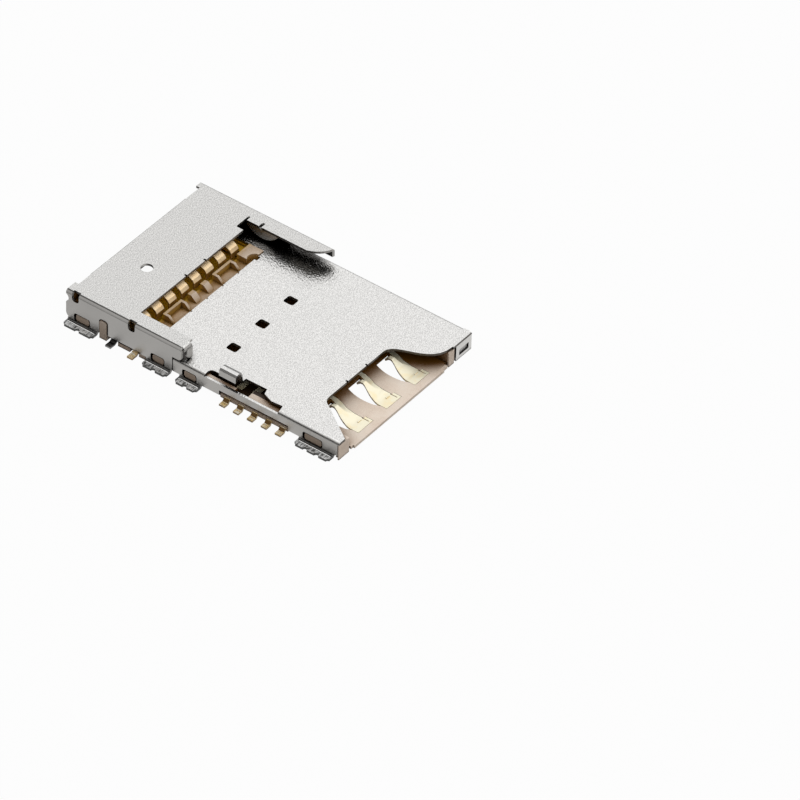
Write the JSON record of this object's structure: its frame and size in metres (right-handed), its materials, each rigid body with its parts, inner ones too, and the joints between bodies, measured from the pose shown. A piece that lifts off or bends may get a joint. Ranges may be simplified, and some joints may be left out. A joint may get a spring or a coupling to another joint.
{
  "type": "sim card socket",
  "caption": "Flat stacked board socket with a SIM slot below and a small memory slot above, folded metal covers, gold spring contacts and scalloped solder feet.",
  "frame": {"origin": "on the circuit board under the middle of the part's box", "axes": "+Y from the open mouth to the rear, along the way things are pushed in, +Z away from the board"},
  "size_m": [0.013, 0.019, 0.0022],
  "materials": {
    "plastic": "fine matte",
    "cover": "matt tinned sheet",
    "gold": "gold plated",
    "tin": "tin plated"
  },
  "bodies": {
    "root": {"housing": "plastic", "memory_insulator": "plastic", "front_cover": "cover", "rear_cover": "cover", "detect_spring": "gold", "detect_terminal": "tin", "memory_contact_1": "gold", "memory_contact_2": "gold", "memory_contact_3": "gold", "memory_contact_4": "gold", "memory_contact_5": "gold", "memory_contact_6": "gold", "memory_contact_7": "gold", "memory_contact_8": "gold", "sim_contact_1": "gold", "sim_contact_2": "gold", "sim_contact_3": "gold", "sim_contact_4": "gold", "sim_contact_5": "gold", "sim_contact_6": "gold"}
  },
  "joints": []
}
